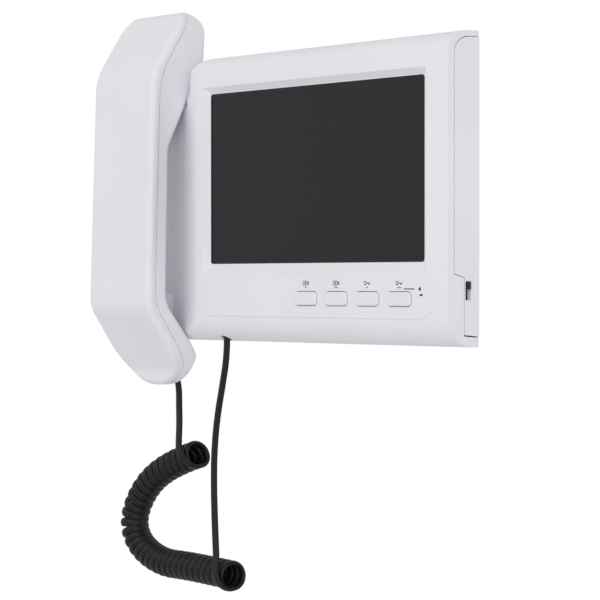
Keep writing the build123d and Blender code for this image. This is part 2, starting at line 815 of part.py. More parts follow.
def handset_region(shift, far):
    """Everything between the parting line, moved by a shift in depth, and a far Y."""
    with BuildSketch(Plane.YZ.offset(grip_x - handset_width)) as region:
        with BuildLine():
            line = [(y + shift, z) for y, z in parting_line]
            Polyline(*line, (far, line[-1][1]), (far, line[0][1]), close=True)
        make_face()
        for number, radius in parting_rounds.items():
            round_corner(region, line[number][0], line[number][1], radius)
    return extrude(region.sketch, amount=2 * handset_width)


def sharp_edges(solid):
    """Edges of a solid where two faces meet at a real corner."""
    corners = []
    for edge in solid.edges():
        faces = [face for face in solid.faces() if any(edge.is_same(other) for other in face.edges())]
        normals = [face.normal_at(edge @ 0.5) for face in faces]
        if len(normals) == 2 and normals[0].get_angle(normals[1]) > 12:
            corners.append(edge)
    return corners


with BuildPart() as handset_body:
    extrude(handset_side(0), amount=2 * handset_width)
    extrude(handset_front_view(0), amount=80, mode=Mode.INTERSECT)
    fillet(sharp_edges(handset_body.part), handset_edge)
with BuildPart() as handset_cavity:
    extrude(handset_side(handset_wall), amount=2 * handset_width)
    extrude(handset_front_view(handset_wall), amount=80, mode=Mode.INTERSECT)
handset_shell = handset_body.part - handset_cavity.part

# height of each handset screw, with the depths of the back's outside and the front's inside there
handset_screw_places = [(half_height + 13, 9.4, 26.8), (30 - half_height, 34.4, 44.3)]
handset_screw_radius = 1.0
capsule_z = half_height - 15.0
capsule_radius = 14.0
capsule_gap = 0.5  # gasket between a capsule and the back shell
mic_z = 2.0 - half_height
mic_radius = 4.85
ear_normal = Vector(0, 1, -ear_slope).normalized()
mouth_normal = Vector(0, 1, mouth_slope).normalized()
ear_point = Vector(grip_x, ear_face(capsule_z), capsule_z)
mic_point = Vector(grip_x, mouth_face(mic_z), mic_z)
cord_radius = cord_diameter / 2
exit_direction = Vector(0, math.sqrt(0.5), -math.sqrt(0.5))
exit_point = Vector(grip_x, -13.05, -14.0 - half_height)
exit_length = 2.0
exit_radius = 2.6


def inward(point, normal, distance):
    """Sketch plane at a distance inside the handset's back, facing outwards."""
    return Plane(origin=point - normal * distance, z_dir=normal)


with BuildPart() as handset_front:
    add(handset_shell)
    add(handset_region(-seam / 2, 30), mode=Mode.SUBTRACT)
    for place_z, back_face, front_face in handset_screw_places:
        round_bar(grip_x, place_z, 2.6, back_face + 4.4, front_face + 0.4)
        round_bar(grip_x, place_z, handset_screw_radius + 0.1, back_face + 4.4, front_face - 0.6, mode=Mode.SUBTRACT)
finish(handset_front, "handset_front")

with BuildPart() as handset_back:
    add(handset_shell)
    add(handset_region(seam / 2, -90), mode=Mode.SUBTRACT)
    for place_z, back_face, front_face in handset_screw_places:
        round_bar(grip_x, place_z, 4.0, back_face + 1.0, back_face + 4.0)
        round_bar(grip_x, place_z, 2.7, back_face - 2, back_face + 2.4, mode=Mode.SUBTRACT)
        round_bar(grip_x, place_z, 1.4, back_face, back_face + 5, mode=Mode.SUBTRACT)
    # sound holes over the earpiece and the microphone
    with BuildSketch(inward(ear_point, ear_normal, -1)):
        Circle(1.1)
        with PolarLocations(4.6, 6):
            Circle(1.1)
        with PolarLocations(8.6, 10):
            Circle(1.1)
    extrude(amount=-2 * handset_wall, mode=Mode.SUBTRACT)
    with BuildSketch(inward(mic_point, mouth_normal, -1)):
        Circle(1.0)
    extrude(amount=-2 * handset_wall, mode=Mode.SUBTRACT)
    # the slot that takes the cradle's tongue
    low = tongue_z - tongue_thick / 2 - lug_gap / 2
    high = tongue_z + tongue_thick / 2 + lug_gap / 2
    slot_half = tongue_width / 2 + lug_gap / 2
    block(grip_x - slot_half, grip_x + slot_half, 20, 31, low, high, mode=Mode.SUBTRACT)
    with BuildSketch(inward(exit_point, exit_direction, 5)):
        Circle(exit_radius + 0.15)
    extrude(amount=8, mode=Mode.SUBTRACT)
finish(handset_back, "handset_back")

with BuildPart() as ear_capsule:
    with BuildSketch(inward(ear_point, ear_normal, handset_wall + capsule_gap)):
        Circle(capsule_radius)
    extrude(amount=-6)
finish(ear_capsule, "ear_capsule")

with BuildPart() as ear_gasket:
    with BuildSketch(inward(ear_point, ear_normal, handset_wall + capsule_gap)):
        Circle(capsule_radius)
        Circle(capsule_radius - 3.5, mode=Mode.SUBTRACT)
    extrude(amount=capsule_gap)
finish(ear_gasket, "ear_gasket")

with BuildPart() as mic_capsule:
    with BuildSketch(inward(mic_point, mouth_normal, handset_wall + capsule_gap)):
        Circle(mic_radius)
    extrude(amount=-6.5)
finish(mic_capsule, "mic_capsule")

with BuildPart() as mic_gasket:
    with BuildSketch(inward(mic_point, mouth_normal, handset_wall + capsule_gap)):
        Circle(mic_radius)
        Circle(mic_radius - 2, mode=Mode.SUBTRACT)
    extrude(amount=capsule_gap)
finish(mic_gasket, "mic_gasket")

with BuildPart() as handset_weight:
    block(grip_x - 7, grip_x + 7, 36.8, 41.8, -30, 28)
finish(handset_weight, "handset_weight")

with BuildPart() as handset_screws:
    for place_z, back_face, front_face in handset_screw_places:
        round_bar(grip_x, place_z, 2.3, back_face + 0.9, back_face + 2.4)
        round_bar(grip_x, place_z, handset_screw_radius, back_face + 2.2, front_face - 1)
finish(handset_screws, "handset_screws")

with BuildPart() as handset_grommet:
    with BuildSketch(inward(exit_point, exit_direction, 4)):
        Circle(exit_radius)
    extrude(amount=4 + exit_length)
finish(handset_grommet, "handset_grommet")

# ================================================================ cord
handset_tail_start = exit_point + exit_direction * exit_length
bend_start = handset_tail_start + exit_direction * 4.3
handset_tail = [
    tuple(handset_tail_start),
    tuple(bend_start),
    (grip_x + 0.05, bend_start.Y + 1.9, bend_start.Z - 4.6),
    (grip_x - 0.1, -6.6, -104.0),
    (-122.6, -7.2, -115.5),
    (-119.2, -8.4, -125.5),
    (-113.0, -9.5, -132.3),
]
coil_route = [
    (-103.0, -10.0, -131.5),
    (-122.0, -11.5, -137.0),
    (-141.5, -14.0, -149.0),
    (-151.0, -16.5, -167.5),
    (-144.0, -18.0, -181.0),
    (-123.0, -18.8, -189.3),
    (-98.0, -19.5, -188.6),
    (-62.0, -20.5, -190.2),
]
base_tail = [
    (base_exit[0], base_exit[1], grommet_end),
    (base_exit[0], base_exit[1], grommet_end - 9),
    (-73.6, -18.1, -93.0),
    (-77.5, -19.0, -112.0),
    (-79.2, -19.4, -131.0),
    (-79.0, -19.8, -150.0),
    (-77.6, -20.2, -169.0),
    (-76.0, -20.5, -186.0),
]


def bend_radii(points):
    """Arc radius at each inner point, from the shorter of its two runs and its turn."""
    radii = []
    for before, here, after in zip(points, points[1:], points[2:]):
        run_in = Vector(*here) - Vector(*before)
        run_out = Vector(*after) - Vector(*here)
        half_turn = math.radians(run_in.get_angle(run_out)) / 2
        radii.append(0.45 * min(run_in.length, run_out.length) / math.tan(half_turn))
    return radii


for name, route, radius in (
    ("cord_handset_tail", handset_tail, cord_radius),
    ("cord_coil", coil_route, coil_diameter / 2),
    ("cord_base_tail", base_tail, cord_radius),
):
    radii = bend_radii(route)
    with BuildPart() as tube:
        with BuildLine() as centre:
            FilletPolyline(*route, radius=radii)
        with BuildSketch(Plane(origin=centre.line @ 0, z_dir=centre.line % 0)):
            Circle(radius)
        sweep()
    finish(tube, name)
    length = sum(edge.length for edge in centre.edges())
    print(name, "arc radii", [round(value, 1) for value in radii], "length", round(length, 1))
    print(name, "volume", round(tube.part.volume), "of", round(math.pi * radius**2 * length))
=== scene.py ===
"""Studio scene of a wall-mounted video intercom monitor with a cradled handset and a curly cord.

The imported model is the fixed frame. Each sub-assembly below is a class that builds its own
pieces in that frame, in metres, and dresses the frame's nodes with its finishes.
"""

import logging
import math
from dataclasses import dataclass
from enum import Enum
from typing import ClassVar

import bpy
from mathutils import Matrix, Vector

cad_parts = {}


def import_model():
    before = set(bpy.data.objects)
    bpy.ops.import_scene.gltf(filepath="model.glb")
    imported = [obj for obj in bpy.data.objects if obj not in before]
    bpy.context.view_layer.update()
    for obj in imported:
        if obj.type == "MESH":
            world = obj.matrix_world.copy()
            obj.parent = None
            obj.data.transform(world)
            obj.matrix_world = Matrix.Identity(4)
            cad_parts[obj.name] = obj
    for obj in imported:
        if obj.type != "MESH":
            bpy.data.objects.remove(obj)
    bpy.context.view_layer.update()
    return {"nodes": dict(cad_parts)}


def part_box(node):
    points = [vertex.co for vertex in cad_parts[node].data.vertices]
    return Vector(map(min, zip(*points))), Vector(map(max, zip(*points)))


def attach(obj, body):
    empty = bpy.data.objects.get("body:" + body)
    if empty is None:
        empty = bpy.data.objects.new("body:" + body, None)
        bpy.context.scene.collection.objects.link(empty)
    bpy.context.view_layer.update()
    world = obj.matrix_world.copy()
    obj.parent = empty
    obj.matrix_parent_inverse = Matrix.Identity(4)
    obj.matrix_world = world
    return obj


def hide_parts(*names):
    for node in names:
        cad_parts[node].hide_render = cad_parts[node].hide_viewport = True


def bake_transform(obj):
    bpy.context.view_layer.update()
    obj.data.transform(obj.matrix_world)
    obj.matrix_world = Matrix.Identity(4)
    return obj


LOG = logging.getLogger("intercom")
MM = 0.001
Rgb = tuple[float, float, float]
Point = tuple[float, float, float]


class Grain(Enum):
    """How the surface of a finish is broken up, as the stretch of its fine pattern."""

    EVEN = (1.0, 1.0, 1.0)
    BRUSHED_X = (0.04, 1.0, 1.0)
    BRUSHED_Z = (1.0, 1.0, 0.04)


class Rotation(Enum):
    """Which way a flat mark faces."""

    TO_USER = (math.pi / 2, 0.0, 0.0)


@dataclass(frozen=True)
class Lamp:
    """A soft square light.

    Attributes:
        name: name of the light.
        place: where it hangs.
        target: what it looks at.
        size: length of its side.
        power: its power in watts.
    """

    name: str
    place: Point
    target: Point
    size: float
    power: float


@dataclass(frozen=True)
class Finish:
    """A moulded, pressed or drawn surface: colour, gloss, fine grain and slow mottling.

    Attributes:
        name: name of the material.
        colour: linear base colour.
        roughness: middle of the roughness range.
        metallic: 1 for bare metal.
        grain_scale: fine grains per metre.
        grain_depth: height of the fine grain, in metres.
        mottle: share by which the colour drifts across the piece.
        mottle_scale: size of that drift, in patches per metre.
        gloss_drift: how far the roughness drifts from its middle.
        coat: weight of a clear coat.
        grain: stretch of the fine grain.
        specular: specular level of the plastic.
        coat_roughness: roughness of the clear coat.
        fine_detail: finer layers of the fine grain.
        slow_detail: finer layers of the slow drift.
        drift_ends: where the drift reaches its darkest and its lightest tone.
    """

    name: str
    colour: Rgb
    roughness: float
    metallic: float = 0.0
    grain_scale: float = 2600.0
    grain_depth: float = 0.00001
    mottle: float = 0.02
    mottle_scale: float = 14.0
    gloss_drift: float = 0.05
    coat: float = 0.0
    grain: Grain = Grain.EVEN
    specular: float = 0.5
    coat_roughness: ClassVar[float] = 0.08
    fine_detail: ClassVar[float] = 3.0
    slow_detail: ClassVar[float] = 4.0
    drift_ends: ClassVar[tuple[float, float]] = (0.3, 0.7)

    def build(self) -> bpy.types.Material:
        """Make the material's nodes.

        Returns:
            The new material.
        """
        material = bpy.data.materials.new(self.name)
        material.use_nodes = True
        tree = material.node_tree
        shader = tree.nodes["Principled BSDF"]
        shader.inputs["Metallic"].default_value = self.metallic
        shader.inputs["Coat Weight"].default_value = self.coat
        shader.inputs["Coat Roughness"].default_value = self.coat_roughness
        shader.inputs["Specular IOR Level"].default_value = self.specular
        place = tree.nodes.new("ShaderNodeTexCoord")
        stretch = tree.nodes.new("ShaderNodeMapping")
        stretch.inputs["Scale"].default_value = self.grain.value
        tree.links.new(place.outputs["Object"], stretch.inputs["Vector"])
        fine = self._noise(tree, stretch.outputs["Vector"], self.grain_scale, self.fine_detail)
        slow = self._noise(tree, place.outputs["Object"], self.mottle_scale, self.slow_detail)
        self._colour(tree, shader, slow)
        self._gloss(tree, shader, fine)
        bump = tree.nodes.new("ShaderNodeBump")
        bump.inputs["Strength"].default_value = 1.0
        bump.inputs["Distance"].default_value = self.grain_depth
        tree.links.new(fine.outputs["Fac"], bump.inputs["Height"])
        tree.links.new(bump.outputs["Normal"], shader.inputs["Normal"])
        return material

    def _noise(
        self, tree: bpy.types.NodeTree, vector: bpy.types.NodeSocket, scale: float, detail: float
    ) -> bpy.types.Node:
        """Add one noise pattern.

        Args:
            tree: node tree it goes into.
            vector: socket that places it.
            scale: patches per metre.
            detail: number of finer layers.

        Returns:
            The noise node.
        """
        noise = tree.nodes.new("ShaderNodeTexNoise")
        noise.inputs["Scale"].default_value = scale
        noise.inputs["Detail"].default_value = detail
        tree.links.new(vector, noise.inputs["Vector"])
        return noise

    def _colour(self, tree: bpy.types.NodeTree, shader: bpy.types.Node, slow: bpy.types.Node) -> None:
        """Let the colour drift slowly between a darker and a lighter tone.

        Args:
            tree: node tree it goes into.
            shader: the material's shader.
            slow: the slow pattern.
        """
        ramp = tree.nodes.new("ShaderNodeValToRGB")
        shares = (1 - self.mottle, 1 + self.mottle)
        for element, share, position in zip(ramp.color_ramp.elements, shares, self.drift_ends):
            element.position = position
            element.color = (*[min(1.0, part * share) for part in self.colour], 1.0)
        tree.links.new(slow.outputs["Fac"], ramp.inputs["Fac"])
        tree.links.new(ramp.outputs["Color"], shader.inputs["Base Color"])

    def _gloss(self, tree: bpy.types.NodeTree, shader: bpy.types.Node, fine: bpy.types.Node) -> None:
        """Let the roughness follow the fine grain.

        Args:
            tree: node tree it goes into.
            shader: the material's shader.
            fine: the fine pattern.
        """
        spread = tree.nodes.new("ShaderNodeMapRange")
        spread.inputs["To Min"].default_value = max(0.02, self.roughness - self.gloss_drift)
        spread.inputs["To Max"].default_value = min(1.0, self.roughness + self.gloss_drift)
        tree.links.new(fine.outputs["Fac"], spread.inputs["Value"])
        tree.links.new(spread.outputs["Result"], shader.inputs["Roughness"])


@dataclass(frozen=True)
class BoardFinish(Finish):
    """A circuit board: solder mask over faint copper tracks.

    Attributes:
        track: colour of the tracks.
        track_scale: tracks per metre.
        track_width: width of a track, as a share of their spacing.
        shade: how much darker every second field is.
    """

    track: Rgb = (0.06, 0.26, 0.11)
    track_scale: float = 420.0
    track_width: float = 0.06
    shade: float = 0.85

    def _colour(self, tree: bpy.types.NodeTree, shader: bpy.types.Node, slow: bpy.types.Node) -> None:
        """Show the tracks as a lighter green under the mask.

        Args:
            tree: node tree it goes into.
            shader: the material's shader.
            slow: the slow pattern, which a board doesn't use.
        """
        place = tree.nodes.new("ShaderNodeTexCoord")
        tracks = tree.nodes.new("ShaderNodeTexBrick")
        tracks.inputs["Scale"].default_value = self.track_scale
        tracks.inputs["Mortar Size"].default_value = self.track_width
        tracks.inputs["Color1"].default_value = (*self.colour, 1.0)
        tracks.inputs["Color2"].default_value = (*[part * self.shade for part in self.colour], 1.0)
        tracks.inputs["Mortar"].default_value = (*self.track, 1.0)
        turn = tree.nodes.new("ShaderNodeMapping")
        turn.inputs["Rotation"].default_value = Rotation.TO_USER.value
        tree.links.new(place.outputs["Object"], turn.inputs["Vector"])
        tree.links.new(turn.outputs["Vector"], tracks.inputs["Vector"])
        tree.links.new(tracks.outputs["Color"], shader.inputs["Base Color"])


SHELL = Finish("shell_plastic", (0.87, 0.865, 0.915), 0.46, grain_scale=2400, grain_depth=0.000012)
LID = Finish("handset_plastic", (0.87, 0.865, 0.915), 0.4, grain_scale=1500, grain_depth=0.000006)
KEY = Finish("key_plastic", (0.86, 0.86, 0.89), 0.4, grain_scale=3000, grain_depth=0.000006)
STEEL = Finish("plated_steel", (0.62, 0.63, 0.65), 0.3, 1.0, 1800, 0.000004, 0.05, grain=Grain.BRUSHED_X)
CAN = Finish("bright_can", (0.66, 0.67, 0.69), 0.26, 1.0, 1500, 0.000003, 0.04, grain=Grain.BRUSHED_Z)
RUBBER = Finish("black_rubber", (0.018, 0.018, 0.019), 0.5, grain_scale=1600, mottle=0.15)
CORD = Finish(
    "cord_jacket", (0.007, 0.007, 0.008), 0.42, grain_scale=900, mottle=0.12, gloss_drift=0.08, specular=0.3
)
GLASS = Finish(
    "screen_face",
    (0.009, 0.0092, 0.0105),
    0.34,
    grain_scale=900,
    grain_depth=0.000001,
    mottle=0.04,
    specular=0.35,
)
# painted shade: a near-black band on the glass's edge that stands in for the shadow gap under the bezel
SHADOW_GAP = Finish("painted_shadow_gap", (0.003, 0.003, 0.0035), 0.4, grain_scale=900, grain_depth=0.000001)
BLACK = Finish("black_moulding", (0.016, 0.016, 0.018), 0.48, grain_scale=2200, mottle=0.1)
INK = Finish("printed_ink", (0.03, 0.03, 0.036), 0.55, grain_scale=5000, grain_depth=0.000002, mottle=0.1)
LAMP = Finish("lamp_lens", (0.05, 0.035, 0.055), 0.22, grain_scale=1200, mottle=0.1, coat=0.5)
FILM = Finish("amber_film", (0.5, 0.2, 0.04), 0.3, grain_scale=700, mottle=0.08, coat=0.3)
COPPER = Finish("wound_copper", (0.62, 0.3, 0.12), 0.35, 1.0, 900, 0.00004, 0.12, grain=Grain.BRUSHED_X)
BOARD = BoardFinish("solder_mask", (0.02, 0.17, 0.06), 0.32, coat=0.3)
FLOOR = Finish("floor_paper", (0.86, 0.86, 0.87), 0.8, mottle=0.01)

KEY_LIGHT = Lamp("key", (-0.3, -1.6, 1.0), (-0.02, 0.0, -0.02), 1.4, 6.2)
FILL_LIGHT = Lamp("fill", (1.35, -1.0, 0.1), (-0.02, 0.0, -0.05), 1.4, 5.8)


class Bench:
    """The modelling steps that several pieces share."""

    corner_segments: ClassVar[int] = 5

    @staticmethod
    def clear() -> None:
        """Leave nothing selected."""
        if bpy.context.object and bpy.context.object.mode != "OBJECT":
            bpy.ops.object.mode_set(mode="OBJECT")
        bpy.ops.object.select_all(action="DESELECT")

    @staticmethod
    def settle(name: str) -> bpy.types.Object:
        """Name the active piece and move its place into its mesh.

        Args:
            name: the piece's name.

        Returns:
            The piece.
        """
        piece = bpy.context.object
        bpy.ops.object.transform_apply(location=True, rotation=True, scale=True)
        piece.name = name
        piece.data.name = name
        return piece

    @staticmethod
    def plate(
        name: str, x: float, z: float, wide: float, tall: float, y: float, corner: float
    ) -> bpy.types.Object:
        """Make a flat plate that faces the user, with rounded corners.

        Args:
            name: the piece's name.
            x: its middle's X.
            z: its middle's Z.
            wide: its width.
            tall: its height.
            y: the plane it lies in.
            corner: its corners' radius.

        Returns:
            The plate.
        """
        Bench.clear()
        bpy.ops.mesh.primitive_plane_add(size=1, location=(x, y, z), rotation=Rotation.TO_USER.value)
        bpy.context.object.scale = (wide, tall, 1)
        piece = Bench.settle(name)
        bpy.ops.object.mode_set(mode="EDIT")
        bpy.ops.mesh.select_all(action="SELECT")
        bpy.ops.mesh.bevel(offset=corner, segments=Bench.corner_segments, affect="VERTICES")
        bpy.ops.object.mode_set(mode="OBJECT")
        return piece

    @staticmethod
    def disc(name: str, x: float, z: float, radius: float, y: float, sides: int = 28) -> bpy.types.Object:
        """Make a flat disc that faces the user.

        Args:
            name: the piece's name.
            x: its middle's X.
            z: its middle's Z.
            radius: its radius.
            y: the plane it lies in.
            sides: number of its sides.

        Returns:
            The disc.
        """
        Bench.clear()
        facing = Rotation.TO_USER.value
        bpy.ops.mesh.primitive_circle_add(
            vertices=sides, radius=radius, fill_type="NGON", location=(x, y, z), rotation=facing
        )
        return Bench.settle(name)

    @staticmethod
    def hollow(piece: bpy.types.Object, rim: float) -> bpy.types.Object:
        """Cut the middle out of a flat piece and leave its rim.

        Args:
            piece: the flat piece.
            rim: the rim's width.

        Returns:
            The same piece.
        """
        Bench.clear()
        piece.select_set(True)
        bpy.context.view_layer.objects.active = piece
        bpy.ops.object.mode_set(mode="EDIT")
        bpy.ops.mesh.select_mode(type="FACE")
        bpy.ops.mesh.select_all(action="SELECT")
        bpy.ops.mesh.inset(thickness=rim, depth=0)
        bpy.ops.mesh.delete(type="FACE")
        bpy.ops.object.mode_set(mode="OBJECT")
        return piece

    @staticmethod
    def join(name: str, parts: list[bpy.types.Object]) -> bpy.types.Object:
        """Join flat parts into one piece.

        Args:
            name: the joined piece's name.
            parts: what to join.

        Returns:
            The joined piece.
        """
        Bench.clear()
        for part in parts:
            part.select_set(True)
        bpy.context.view_layer.objects.active = parts[0]
        bpy.ops.object.join()
        parts[0].name = name
        parts[0].data.name = name
        return parts[0]

    @staticmethod
    def thicken(piece: bpy.types.Object, amount: float) -> bpy.types.Object:
        """Give a flat piece a thickness towards the user.

        Args:
            piece: the flat piece.
            amount: its thickness.

        Returns:
            The same piece.
        """
        Bench.clear()
        piece.select_set(True)
        bpy.context.view_layer.objects.active = piece
        bpy.ops.object.modifier_add(type="SOLIDIFY")
        solidify = piece.modifiers[-1]
        solidify.thickness = amount
        solidify.offset = 1.0
        bpy.ops.object.modifier_apply(modifier=solidify.name)
        return piece


def dress(node: bpy.types.Object, material: bpy.types.Material) -> None:
    """Give every slot of a piece or node one material.

    Args:
        node: the piece or node.
        material: its material.
    """
    if not node.material_slots:
        node.data.materials.append(material)
    for slot in node.material_slots:
        slot.material = material


class Wardrobe:
    """Builds each finish once and hands out its material."""

    def __init__(self) -> None:
        """Start with nothing built."""
        self._built: dict[str, bpy.types.Material] = {}

    def get(self, finish: Finish) -> bpy.types.Material:
        """Give a finish's material.

        Args:
            finish: the finish.

        Returns:
            Its material, built at the first call.
        """
        if finish.name not in self._built:
            self._built[finish.name] = finish.build()
        return self._built[finish.name]


@dataclass
class Assembly:
    """A group of frame nodes with one finish each, and the pieces added to them.

    Attributes:
        nodes: the frame's nodes by name.
        wardrobe: where the materials come from.
    """

    nodes: dict[str, bpy.types.Object]
    wardrobe: Wardrobe

    def finishes(self) -> dict[str, Finish]:
        """Say which finish each of this assembly's nodes has."""
        return {}

    def extras(self) -> None:
        """Build the pieces that the frame doesn't have."""

    def build(self) -> None:
        """Dress the nodes and build the extra pieces."""
        for name, finish in self.finishes().items():
            dress(self.nodes[name], self.wardrobe.get(finish))
            LOG.info("node %s has %s", name, finish.name)
        self.extras()

    def add(self, piece: bpy.types.Object, body: str, finish: Finish, slot: str) -> None:
        """Finish a new piece: its material and the body it rides on.

        Args:
            piece: the new piece.
            body: the body it rides on.
            finish: its finish.
            slot: not used.
        """
        dress(piece, self.wardrobe.get(finish))
        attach(piece, body)
        LOG.info("piece %s rides on %s", piece.name, body)


@dataclass
class Housing(Assembly):
    """Front and rear covers, wall bracket, screws, cradle plunger and side switch."""

    def finishes(self) -> dict[str, Finish]:
        """Say which finish each of this assembly's nodes has."""
        return {
            "front_cover": SHELL,
            "rear_cover": SHELL,
            "wall_bracket": STEEL,
            "housing_screws": STEEL,
            "hook_plunger": KEY,
            "hook_spring": STEEL,
            "side_switch": BLACK,
            "switch_knob": BLACK,
            "base_grommet": RUBBER,
        }


@dataclass
class Screen(Assembly):
    """Cover glass, a dark border of painted shade along the opening's edge, and the panel behind it.

    Attributes:
        border: width of the painted shade band inside the opening.
        tuck: width of the border behind the bezel.
        corner: radius of the border's outer corners.
        lift: how far the border stands in front of the glass.
        thick: the border's thickness.
        opening_wide: width of the opening in the bezel.
        opening_tall: height of the opening in the bezel.
    """

    border: float = 0.9 * MM
    tuck: float = 1.0 * MM
    corner: float = 1.2 * MM
    lift: float = 0.03 * MM
    thick: float = 0.05 * MM
    opening_wide: float = 154.0 * MM
    opening_tall: float = 86.0 * MM

    def finishes(self) -> dict[str, Finish]:
        """Say which finish each of this assembly's nodes has."""
        return {"screen_glass": GLASS, "screen_gasket": RUBBER, "screen_panel": CAN, "backlight": BLACK}

    def extras(self) -> None:
        """Lay a near-black sheet on the glass just inside the opening, as painted shade standing in for the
        shadow gap at the bezel's edge.
        """
        low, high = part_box("screen_glass")
        middle_x = (low[0] + high[0]) / 2
        middle_z = (low[2] + high[2]) / 2
        wide = self.opening_wide + 2 * self.tuck
        tall = self.opening_tall + 2 * self.tuck
        front = low[1] - self.lift
        # painted shade: this near-black sheet stands for the shadow gap at the opening's edge
        plate = Bench.plate("screen_painted_shadow", middle_x, middle_z, wide, tall, front, self.corner)
        Bench.hollow(plate, self.border + self.tuck)
        Bench.thicken(plate, self.thick)
        self.add(plate, "housing", SHADOW_GAP, "screen_glass")


@dataclass
class Marks(Assembly):
    """Small generic symbols over the buttons, in place of any lettering. All sizes are in millimetres.

    Attributes:
        panel_y: the panel's face.
        lift: how far behind the panel's face the ink starts.
        ink: the ink's thickness.
        mark_z: height of the button marks' middle.
        symbol_rise: how far a symbol stands over that.
        dot_drop: how far the counting dots stand under that.
        dot_pitch: distance between two dots.
        dot_radius: a dot's radius.
        stroke: width of the thin strokes.
        lamp_mark_z: height of the bell and its line.
        bell_x: the bell's place.
        line_x: the line's middle.
        line_long: the line's length.
        line_weight: the line's width.
    """

    panel_y: float = -26.0
    lift: float = 0.02
    ink: float = 0.05
    mark_z: float = -43.4
    symbol_rise: float = 0.7
    dot_drop: float = 1.35
    dot_pitch: float = 1.3
    dot_radius: float = 0.38
    stroke: float = 0.34
    lamp_mark_z: float = -45.4
    bell_x: float = 76.6
    line_x: float = 69.6
    line_long: float = 7.2
    line_weight: float = 0.42

    def _bar(self, x: float, z: float, wide: float, tall: float, corner: float = 0.0) -> bpy.types.Object:
        """Make one bar of ink.

        Args:
            x: its middle's X.
            z: its middle's Z.
            wide: its width.
            tall: its height.
            corner: its corners' radius, or 0 for a small share of its thinner side.

        Returns:
            The bar.
        """
        rounding = (corner or min(wide, tall) * 0.3) * MM
        plane = (self.panel_y - self.lift) * MM
        return Bench.plate("bar", x * MM, z * MM, wide * MM, tall * MM, plane, rounding)

    def _disc(self, x: float, z: float, radius: float, sides: int) -> bpy.types.Object:
        """Make one disc of ink.

        Args:
            x: its middle's X.
            z: its middle's Z.
            radius: its radius.
            sides: number of its sides.

        Returns:
            The disc.
        """
        plane = (self.panel_y - self.lift) * MM
        return Bench.disc("disc", x * MM, z * MM, radius * MM, plane, sides)

    def _dots(self, x: float, z: float, count: int) -> list[bpy.types.Object]:
        """Make a row of counting dots.

        Args:
            x: the row's middle.
            z: its height.
            count: number of dots.

        Returns:
            The dots.
        """
        start = x - (count - 1) * self.dot_pitch / 2
        return [self._disc(start + self.dot_pitch * n, z, self.dot_radius, 16) for n in range(count)]

    def _camera(self, x: float, z: float) -> list[bpy.types.Object]:
        """Make a camera symbol: a body, a lens and a hood.

        Args:
            x: the symbol's middle.
            z: its height.

        Returns:
            Its parts.
        """
        body = Bench.hollow(self._bar(x - 0.5, z, 3.2, 2.2, 0.4), 0.3 * MM)
        return [body, self._disc(x - 0.5, z, 0.5, 20), self._bar(x + 1.75, z, 0.7, 1.5)]

    def _key(self, x: float, z: float) -> list[bpy.types.Object]:
        """Make a key symbol: a bow, a shank and two teeth.

        Args:
            x: the symbol's middle.
            z: its height.

        Returns:
            Its parts.
        """
        bow = Bench.hollow(self._disc(x - 1.3, z, 0.95, 24), 0.32 * MM)
        shank = self._bar(x + 0.75, z, 2.4, self.stroke)
        long_tooth = self._bar(x + 1.05, z - 0.45, self.stroke, 0.7)
        short_tooth = self._bar(x + 1.75, z - 0.4, self.stroke, 0.6)
        return [bow, shank, long_tooth, short_tooth]

    def _bell(self, x: float, z: float) -> list[bpy.types.Object]:
        """Make a bell symbol: a dome, a skirt and a rim."""
        dome = self._disc(x, z + 0.25, 0.62, 20)
        return [dome, self._bar(x, z - 0.05, 1.24, 0.6), self._bar(x, z - 0.5, 1.8, 0.3)]

    def _print(self, name: str, parts: list[bpy.types.Object]) -> None:
        """Join the parts of one mark, give them their thickness and add them to the housing."""
        mark = Bench.thicken(Bench.join(name, parts), self.ink * MM)
        self.add(mark, "housing", INK, "black_plastic")

    def extras(self) -> None:
        """Print one symbol over each button, and a bell with its line at the lamp."""
        for number in range(1, 5):
            low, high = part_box(f"button_{number}")
            x = (low[0] + high[0]) / 2 / MM
            draw = self._camera if number < 3 else self._key
            symbol = draw(x, self.mark_z + self.symbol_rise)
            dots = self._dots(x, self.mark_z - self.dot_drop, 2 - number % 2)
            self._print(f"button_mark_{number}", symbol + dots)
        line = self._bar(self.line_x, self.lamp_mark_z, self.line_long, self.line_weight)
        self._print("lamp_mark", [line, *self._bell(self.bell_x, self.lamp_mark_z)])


@dataclass
class Keys(Assembly):
    """The buttons and the lamp."""

    def finishes(self) -> dict[str, Finish]:
        """Say which finish each of this assembly's nodes has."""
        keys = {f"button_{number}": KEY for number in range(1, 5)}
        return {**keys, "status_lamp": LAMP}


@dataclass
class Electronics(Assembly):
    """Everything inside the housing."""

    def finishes(self) -> dict[str, Finish]:
        """Say which finish each of this assembly's nodes has."""
        return {
            "main_board": BOARD,
            "power_board": BOARD,
            "button_board": BOARD,
            "board_chips": BLACK,
            "ribbon_socket": BLACK,
            "screen_ribbon": FILM,
            "terminal_block": BLACK,
            "transformer": COPPER,
            "capacitors": CAN,
            "tact_switches": BLACK,
            "loudspeaker": CAN,
            "speaker_gasket": RUBBER,
            "hook_switch": BLACK,
            "board_screws": STEEL,
        }


@dataclass
class Handset(Assembly):
    """The handset's shells and what they hold."""

    def finishes(self) -> dict[str, Finish]:
        """Say which finish each of this assembly's nodes has."""
        return {
            "handset_front": LID,
            "handset_back": LID,
            "ear_capsule": BLACK,
            "ear_gasket": RUBBER,
            "mic_capsule": CAN,
            "mic_gasket": RUBBER,
            "handset_weight": STEEL,
            "handset_screws": STEEL,
            "handset_grommet": RUBBER,
        }


